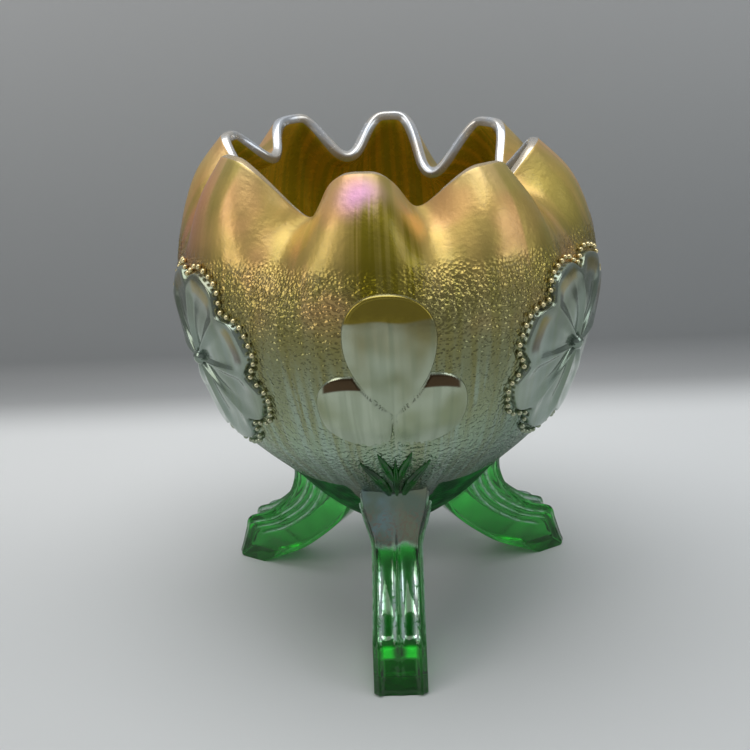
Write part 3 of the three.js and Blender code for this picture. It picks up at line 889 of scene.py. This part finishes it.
def beads(place):
    """Round beads that stand in a row along the petals' outline."""
    count = PETALS * BEADS_PER_PETAL
    fine = np.linspace(0, 2 * np.pi, 4001)
    reach = petal_outline(fine) + BEAD_RADIUS + CLEARANCE
    curve = np.column_stack([reach * np.cos(fine), reach * np.sin(fine)])
    along = np.concatenate([[0], np.cumsum(np.linalg.norm(np.diff(curve, axis=0), axis=1))])
    stations = np.interp(np.arange(count) / count * along[-1], along, fine)
    tilt, angle = round_grid(np.linspace(0.05, np.pi - 0.05, BEAD_RINGS), BEAD_COLUMNS)
    ball = closed_faces(BEAD_RINGS, BEAD_COLUMNS)
    points, faces = [], []
    for index, station in enumerate(stations):
        reach = petal_outline(station) + BEAD_RADIUS + CLEARANCE
        size = BEAD_RADIUS * (0.84 + 0.06 * math.sin(index * 2.3))
        x = reach * math.cos(station) + size * np.sin(tilt) * np.cos(angle)
        y = reach * math.sin(station) + size * np.sin(tilt) * np.sin(angle)
        points.append(place(x, y, CLEARANCE + 0.35 + size * np.cos(tilt)))
        faces += [[index * len(tilt) + corner for corner in face] for face in ball]
    return np.vstack(points), faces


bowl_wall()
relief_look, bead_look = silver_relief(), gold_beads()
for side, turn in FLOWER_TURNS.items():
    place = drawn_on_wall(turn, length_at_height(SHOULDER_HEIGHT - FLOWER_DROP))
    relief_patch(
        f"petals_{side}", f"flower_{side}", place, petal_outline, petal_shape,
        PETAL_RINGS, PETAL_COLUMNS, relief_look,
    )
    button = f"flower_button_{side}"
    add_piece(f"button_{side}", *flower_button(place), "silver_relief", [relief_look], button)
    border = f"bead_border_{side}"
    add_piece(f"beads_{side}", *beads(place), "gold_beads", [bead_look], border)

# ---- Trefoils and leaf fans ------------------------------

TREFOIL_RELIEF = 1.15
TREFOIL_RINGS = 96
TREFOIL_COLUMNS = 300
LOBE_POWER = 2.4  # 2 would make a lobe's upper half a circle
TOP_LOBE = (0, 13, 11)  # middle x and y, radius
TOP_LOBE_TIP = 20  # from its middle down to its point
LOW_LOBES = [(-9, -5, 9), (9, -5, 9)]
LOW_LOBE_TIP = 21


def trefoil_outline(angle):
    """A rounded field that holds the three lobes."""
    return TREFOIL_HALF_WIDTH * (1.06 + 0.18 * np.sin(angle) ** 3 - 0.04 * np.cos(2 * angle))


def lobe_reach(x, y, lobe, tip, lean):
    """0 in a lobe's middle and 1 on its edge, which is round above and pointed below.

    Also the share of the way down from the middle to the point.
    """
    middle_x, middle_y, radius = lobe
    down = np.clip((middle_y - y) / tip, 0, 1.2)
    across = (x - middle_x - lean * down**1.5) / radius
    narrowing = np.clip(np.cos(np.minimum(down, 1) * np.pi / 2), 0.02, 1) ** 0.8
    above = np.clip(y - middle_y, 0, None) / radius
    reach = (np.abs(across / narrowing) ** LOBE_POWER + above**LOBE_POWER) ** (1 / LOBE_POWER)
    return reach, down


def trefoil_shape(x, y, _):
    """Two low lobes with the top lobe over them. Their upper edges get a painted brown reflection.

    The reach in the whole patch isn't used, because each lobe has one of its own.
    """
    lift, shade = np.full_like(x, -0.7), np.zeros_like(x)
    for lobe in LOW_LOBES:
        right, up = x - lobe[0], y - lobe[1]
        reach, down = lobe_reach(x, y, lobe, LOW_LOBE_TIP, -0.5 * lobe[0])
        fade = 1 - smoothstep(down, 0.15, 0.8)
        edge = 0.1 - 0.8 * smoothstep(reach, 0.99, 1.07) - 0.5 * (1 - fade)
        pillow = TREFOIL_RELIEF * fade * np.clip(1 - reach**3, 0, 1) ** 0.5
        lift = np.maximum(lift, pillow + edge)
        # Painted reflection: a brown crescent along each low lobe's upper edge.
        upper = smoothstep(up + 0.03 * right**2, 5.6, 6.0) * smoothstep(up, 9.5, 8.6)
        shade = np.where(reach < 0.97, upper * smoothstep(abs(right), 7.5, 6.5), shade)
    reach, down = lobe_reach(x, y, TOP_LOBE, TOP_LOBE_TIP, 0.4)
    inside = smoothstep(reach, 1.07, 0.97)
    pillow = TREFOIL_RELIEF * np.clip(1 - reach**3, 0, 1) ** 0.45 * (1 - 0.45 * down) + 0.15
    vein = 0.25 * np.exp(-((x / 0.5) ** 2)) * smoothstep(y, 22, 14)
    rim = 0.2 * np.exp(-(((reach - 0.94) / 0.035) ** 2))
    lift = lift * (1 - inside) + (pillow + vein + rim) * inside
    # Painted reflection: a brown band along the top lobe's upper edge.
    upper = smoothstep(y - TOP_LOBE[1] + 0.3 * np.sin(x * 0.5), 4.2, 4.7)
    shade = np.where(inside > 0.5, upper * smoothstep(reach, 1.0, 0.95), shade)
    return lift, shade


def leaf_blade(place, start, tip, half_width):
    """One pointed leaf, drawn from its start to its tip with a slight outward bow."""
    rows, columns = LEAF_ROWS, LEAF_COLUMNS
    way, across = flat_grid(np.linspace(0, 1, rows), np.linspace(-1, 1, columns))
    taper = np.sin(np.pi * (0.1 + 0.9 * way))
    width = half_width * taper**0.8
    run_x, run_y = tip[0] - start[0], tip[1] - start[1]
    length = math.hypot(run_x, run_y)
    bow = 0.12 * run_x * np.sin(np.pi * way)
    x = start[0] + run_x * way - bow + across * width * run_y / length
    y = start[1] + run_y * way - across * width * run_x / length
    groove = 0.35 * np.exp(-((across / 0.22) ** 2))
    crown = (LEAF_RELIEF * (1 - across**2) - groove) * taper**0.5 + CLEARANCE
    under = place(x, y, np.full(x.size, -0.6))
    faces = grid_faces(rows, columns, closed_round=False)
    under_faces = [[corner + x.size for corner in reversed(face)] for face in faces]
    border = list(range(columns))
    border += [row * columns + columns - 1 for row in range(1, rows)]
    border += [(rows - 1) * columns + column for column in range(columns - 2, -1, -1)]
    border += [row * columns for row in range(rows - 2, 0, -1)]
    edges = zip(border, border[1:] + border[:1])
    sides = [[b, a, a + x.size, b + x.size] for a, b in edges]
    return np.vstack([place(x, y, crown), under]), faces + under_faces + sides


def join(parts):
    """One mesh of several: their points one after the other, and their faces counted on."""
    points, faces, count = [], [], 0
    for part_points, part_faces in parts:
        points.append(part_points)
        faces += [[corner + count for corner in face] for face in part_faces]
        count += len(part_points)
    return np.vstack(points), faces


LEAF_ROWS = 26
LEAF_COLUMNS = 9
LEAF_RELIEF = 0.95
# Each leaf's start, tip and half width, from the point on the wall over the foot's neck.
LEAVES = [
    ((-1.8, 0.5), (-8.6, 22.5), 1.55),
    ((-0.7, 11.5), (-4.2, 26.5), 1.25),
    ((0.0, 0.0), (0.0, 24.5), 0.9),
    ((0.7, 11.5), (4.2, 26.5), 1.25),
    ((1.8, 0.5), (8.6, 22.5), 1.55),
]
LEAF_START = 44.5
leaf_look = dark_leaf()
for side, turn in FOOT_TURNS.items():
    place = drawn_on_wall(turn + ORNAMENT_SHIFT, length_at_height(SHOULDER_HEIGHT - TREFOIL_DROP))
    relief_patch(
        f"lobes_{side}", f"trefoil_{side}", place, trefoil_outline, trefoil_shape,
        TREFOIL_RINGS, TREFOIL_COLUMNS, relief_look,
    )
    place = drawn_on_wall(turn + ORNAMENT_SHIFT, length_at_height(LEAF_START))
    points, faces = join([leaf_blade(place, *leaf) for leaf in LEAVES])
    add_piece(f"leaves_{side}", points, faces, "dark_leaf", [leaf_look], f"leaf_fan_{side}")

# ---- Feet ------------------------------------------------

# Each edge runs from the bowl (0) to the toe (1), with its height as a share of BOWL_BOTTOM.
FOOT_OUTER_EDGE = [
    [0, 2.02], [0.01, 1.66], [0.03, 1.35], [0.12, 1.08], [0.3, 0.87], [0.53, 0.69],
    [0.8, 0.555], [0.87, 0.38], [0.945, 0.16], [0.99, 0.04], [0.96, 0],
]
FOOT_INNER_EDGE = [
    [0, 1.29], [0.09, 1.1], [0.2, 0.89], [0.31, 0.71], [0.44, 0.53], [0.6, 0.335],
    [0.75, 0.2], [0.86, 0.11], [0.945, 0.037], [0.99, 0.008], [1, 0],
]
FOOT_RIBS = [[0.34, 0.07], [0.45, 0.2], [0.56, 0.36]]  # share of the depth, at bowl and toe
RIB_END = 0.62
RIB_WIDTH = 0.026
RIB_DEPTH = 0.75
RIDGE = 1.1  # along the middle of the outer face
TROUGH = -0.5  # the flutes on both sides of it
TOE_STEP = -0.45
EDGE_BEAD = 0.3
OUTER_FOOT = 0.556  # where the outer edge meets the bowl, as a share of its radius
INNER_FOOT = 0.136
FOOT_ROWS = 90
OUTER_FACE_POINTS = 15
SIDE_SHARES = np.linspace(0.03, 0.94, 44)
INNER_FACE_POINTS = 8


def edge_curve(points, start, end, way):
    """The radius and height of a foot's edge at each share of the way to the toe."""
    controls = np.array([[start + out * (end - start), up * BOWL_BOTTOM] for out, up in points])
    return spline(np.repeat(controls[None], len(way), axis=0), way)


def rib_at(way, share):
    """How far a rib of the foot's side stands up at a share of the depth, from 0 to 1."""
    run = min(way / RIB_END, 1)
    middles = [at_bowl + (at_toe - at_bowl) * run + 0.04 for at_bowl, at_toe in FOOT_RIBS]
    return max(math.exp(-(((share - middle) / RIB_WIDTH) ** 2)) for middle in middles)


def ribbed(way):
    """1 along the ribs and 0 past their ends."""
    return 1 - smoothstep(way, 0.55, 0.64)


def half_section(way):
    """Half of a foot's section, from the middle of its outer face round to the inner one.

    Each point is its distance from the middle plane, its share of the depth and how far it
    stands out of the outer face.
    """
    side = FOOT_HALF_WIDTH + FOOT_FLARE * (1 - smoothstep(way, 0.03, 0.24))
    edge = side - FOOT_DRAFT
    to_toe = smoothstep(way, 0.57, 0.72)
    from_neck = smoothstep(way, 0.1, 0.3)
    ridge = from_neck * (RIDGE - 1.0 * to_toe)
    trough = TROUGH * from_neck
    toe_step = TOE_STEP * to_toe
    points = []
    for share in np.linspace(0, 1, OUTER_FACE_POINTS):
        crown = ridge * np.exp(-((share / 0.13) ** 2)) + trough * np.sin(np.pi * share)
        step = toe_step * (1 - smoothstep(share, 0.72, 0.86)) * (1 - smoothstep(way, 0.93, 0.97))
        bead = EDGE_BEAD * np.exp(-(((share - 0.93) / 0.07) ** 2))
        points.append((edge * share, 0.0, crown + step + bead))
    rib_depth = RIB_DEPTH * ribbed(way)
    for share in SIDE_SHARES:
        draft = FOOT_DRAFT * (1 - smoothstep(share, 0, 0.12))
        points.append((side - draft - rib_depth * (1 - rib_at(way, share)), share, 0.0))
    for share in np.linspace(0.96, 0, INNER_FACE_POINTS):
        points.append((side * share, 1.0 - 0.03 * (share > 0.9), 0.0))
    return points


def foot(turn):
    """One curled foot. Under the bowl it stands out of the wall by no more than a little."""
    ways = np.linspace(0, 1, FOOT_ROWS)
    outer = edge_curve(FOOT_OUTER_EDGE, BOWL_RADIUS * OUTER_FOOT, TOE_RADIUS, ways)
    inner = edge_curve(FOOT_INNER_EDGE, BOWL_RADIUS * INNER_FOOT, TOE_RADIUS - PAD_LENGTH, ways)
    rows = []
    for way, out, into in zip(ways, outer, inner):
        across = into - out
        away = across / np.linalg.norm(across)
        standing = 1 - smoothstep(way, 0.9, 1)
        half = [
            (lateral, *(out + across * depth - away * stand * standing))
            for lateral, depth, stand in half_section(way)
        ]
        mirrored = [(-lateral, radius, height) for lateral, radius, height in half[-2:0:-1]]
        rows.append(half + mirrored)
    grid = np.array(rows)
    columns = grid.shape[1]
    lateral, radius, height = (grid[:, :, i].ravel() for i in range(3))
    lower = slice(0, MERIDIAN_RADIUS.argmax() + 1)
    from_axis = np.hypot(lateral, radius)
    under_bowl = np.interp(from_axis, MERIDIAN_RADIUS[lower], MERIDIAN_HEIGHT[lower])
    standing_out = 0.35 + 0.85 * smoothstep(np.repeat(ways, columns), 0.05, 0.2)
    height = np.clip(np.minimum(height, under_bowl + standing_out), 0, None)
    angle = math.radians(turn)
    x = lateral * math.cos(angle) + radius * math.sin(angle)
    y = lateral * math.sin(angle) - radius * math.cos(angle)
    faces = [face[::-1] for face in closed_faces(FOOT_ROWS, columns)]
    return np.column_stack([x, y, height]), faces


def on_outer_face(values):
    """Values for the outer face's points, from its middle to its edge, as a value per vertex."""
    columns = 2 * len(half_section(0.5)) - 2
    section = np.zeros(columns)
    section[: len(values)] = values
    section[columns - len(values) + 1 :] = values[:0:-1]
    return np.tile(section, FOOT_ROWS)


def on_ribs():
    """1 along the ribs' crests and 0 elsewhere, as a value per vertex."""
    values = []
    for way in np.linspace(0, 1, FOOT_ROWS):
        half = [0.0] * OUTER_FACE_POINTS
        half += [rib_at(way, share) * ribbed(way) for share in SIDE_SHARES]
        half += [0.0] * INNER_FACE_POINTS
        values += half + half[-2:0:-1]
    return np.array(values)


foot_look = green_glass()
# Painted highlight at the sides of each flute, and painted glow in its hollow near the toe.
share = np.linspace(0, 1, OUTER_FACE_POINTS)
flute_hollow = np.exp(-(((share - 0.55) / 0.28) ** 4))
flute_painted_highlight = np.exp(-(((share - 0.80) / 0.14) ** 2)) + 0.9 * np.exp(-(((share - 0.2) / 0.11) ** 2))
for side, turn in FOOT_TURNS.items():
    piece = add_piece(f"curled_foot_{side}", *foot(turn), "green_glass", [foot_look], f"foot_{side}")
    vertex_values(piece, "outer_face", on_outer_face(np.ones(OUTER_FACE_POINTS)))
    vertex_values(piece, "flute_painted_highlight", on_outer_face(flute_painted_highlight))
    vertex_values(piece, "flute_hollow", on_outer_face(flute_hollow))
    vertex_values(piece, "rib_painted_highlight", on_ribs())

# ---- Stage, light and camera -----------------------------


def stage_look():
    """Pale on the floor, brightened towards the back as painted light, and mid grey where the sweep
    stands up as painted shade. Its back can't be seen.
    """
    look = Look("stage_sweep")
    # Painted light: the floor gets brighter towards the back.
    floor = look.mix(look.between(look.y, -40.0, 120.0), *FLOOR_PAINTED_LIGHT)
    # Painted shade: the standing part is darker, and lighter higher up.
    backdrop = look.mix(look.rise(20.0, 230.0), *BACKDROP_PAINTED_SHADE)
    away = look.math("ADD", look.y, look.times(look.z, 1.5))
    colour = look.mix(look.between(away, 118.0, 176.0), floor, backdrop)
    look.surface(Base_Color=colour, Roughness=0.55)
    geometry = look.node("NewGeometry")
    clear = look.node("BsdfTransparent")
    chosen = look.node("MixShader")
    look.feed(chosen.inputs[0], geometry.outputs["Backfacing"])
    look.feed(chosen.inputs[1], look.shader.outputs[0])
    look.feed(chosen.inputs[2], clear.outputs[0])
    look.feed(look.output.inputs[0], chosen.outputs[0])
    return look.material


SWEEP_HALF_WIDTH = 900
SWEEP_FRONT = -900
SWEEP_MIDDLE = -300
SWEEP_TOP = 620
BEND_START = 157
BEND_RADIUS = 14


def stage_sweep():
    """A floor that bends up into a backdrop."""
    profile = [(SWEEP_FRONT, 0.0), (SWEEP_MIDDLE, 0.0), (BEND_START, 0.0)]
    for degrees in range(6, 91, 6):
        bend = math.radians(degrees)
        out, up = BEND_RADIUS * math.sin(bend), BEND_RADIUS * (1 - math.cos(bend))
        profile.append((BEND_START + out, up))
    profile.append((BEND_START + BEND_RADIUS, SWEEP_TOP))
    sides = (-SWEEP_HALF_WIDTH, SWEEP_HALF_WIDTH)
    points = np.array([(x, y, z) for y, z in profile for x in sides])
    quads = [(2 * i, 2 * i + 1, 2 * i + 3, 2 * i + 2) for i in range(len(profile) - 1)]
    smooth_object("stage_sweep", points, quads, [stage_look()])


def soft_light(name, place, aim, width, height, power, colour=(1, 1, 1)):
    """A soft box at a place in millimetres that faces a point."""
    data = bpy.data.lights.new(name, "AREA")
    data.shape = "RECTANGLE"
    data.size = width * MM
    data.size_y = height * MM
    data.energy = power
    data.color = colour
    lamp = in_scene(name, data)
    lamp.location = Vector(place) * MM
    lamp.rotation_euler = (Vector(aim) - Vector(place)).to_track_quat("-Z", "Y").to_euler()


ROOM_COLOUR = (0.75, 0.77, 0.80, 1)
ROOM_STRENGTH = 0.30


def surroundings():
    world = bpy.data.worlds.new("soft_room")
    world.use_nodes = True
    background = world.node_tree.nodes["Background"]
    background.inputs["Color"].default_value = ROOM_COLOUR
    background.inputs["Strength"].default_value = ROOM_STRENGTH
    scene.world = world


CAMERA_TURN = 1.414  # of the whole view round the bowl's axis
CAMERA_DISTANCE = 309.13
CAMERA_HEIGHT = 184.67
CAMERA_YAW = -0.836
CAMERA_PITCH = 20.894
CAMERA_ROLL = -3.044
CAMERA_LENS = 57.566
SENSOR_WIDTH = 36


def camera():
    data = bpy.data.cameras.new("camera")
    data.sensor_width = SENSOR_WIDTH
    data.lens = CAMERA_LENS
    data.clip_start = 0.01
    eye = in_scene("camera", data)
    yaw, pitch, roll = (math.radians(a) for a in (CAMERA_YAW, CAMERA_PITCH, CAMERA_ROLL))
    level = Vector((math.cos(yaw), -math.sin(yaw), 0))
    forward = math.cos(pitch)
    ahead = Vector((math.sin(yaw) * forward, math.cos(yaw) * forward, -math.sin(pitch)))
    above = level.cross(ahead)
    right = math.cos(roll) * level + math.sin(roll) * above
    up = -math.sin(roll) * level + math.cos(roll) * above
    basis = Matrix((right, up, -ahead)).transposed().to_4x4()
    basis.translation = Vector((0, -CAMERA_DISTANCE, CAMERA_HEIGHT)) * MM
    eye.matrix_world = Matrix.Rotation(math.radians(CAMERA_TURN), 4, "Z") @ basis
    bpy.context.scene.camera = eye


bpy.context.scene.view_settings.view_transform = "Standard"
stage_sweep()
surroundings()
soft_light("overhead", (-40, -60, 760), (0, 0, 60), 760, 560, power=3.6)
soft_light("left_fill", (-520, -320, 360), (0, 0, 90), 300, 420, power=0.9, colour=(1, 0.95, 0.90))
soft_light("right_fill", (540, -240, 340), (0, 0, 90), 260, 380, power=0.6, colour=(0.94, 0.97, 1))
camera()
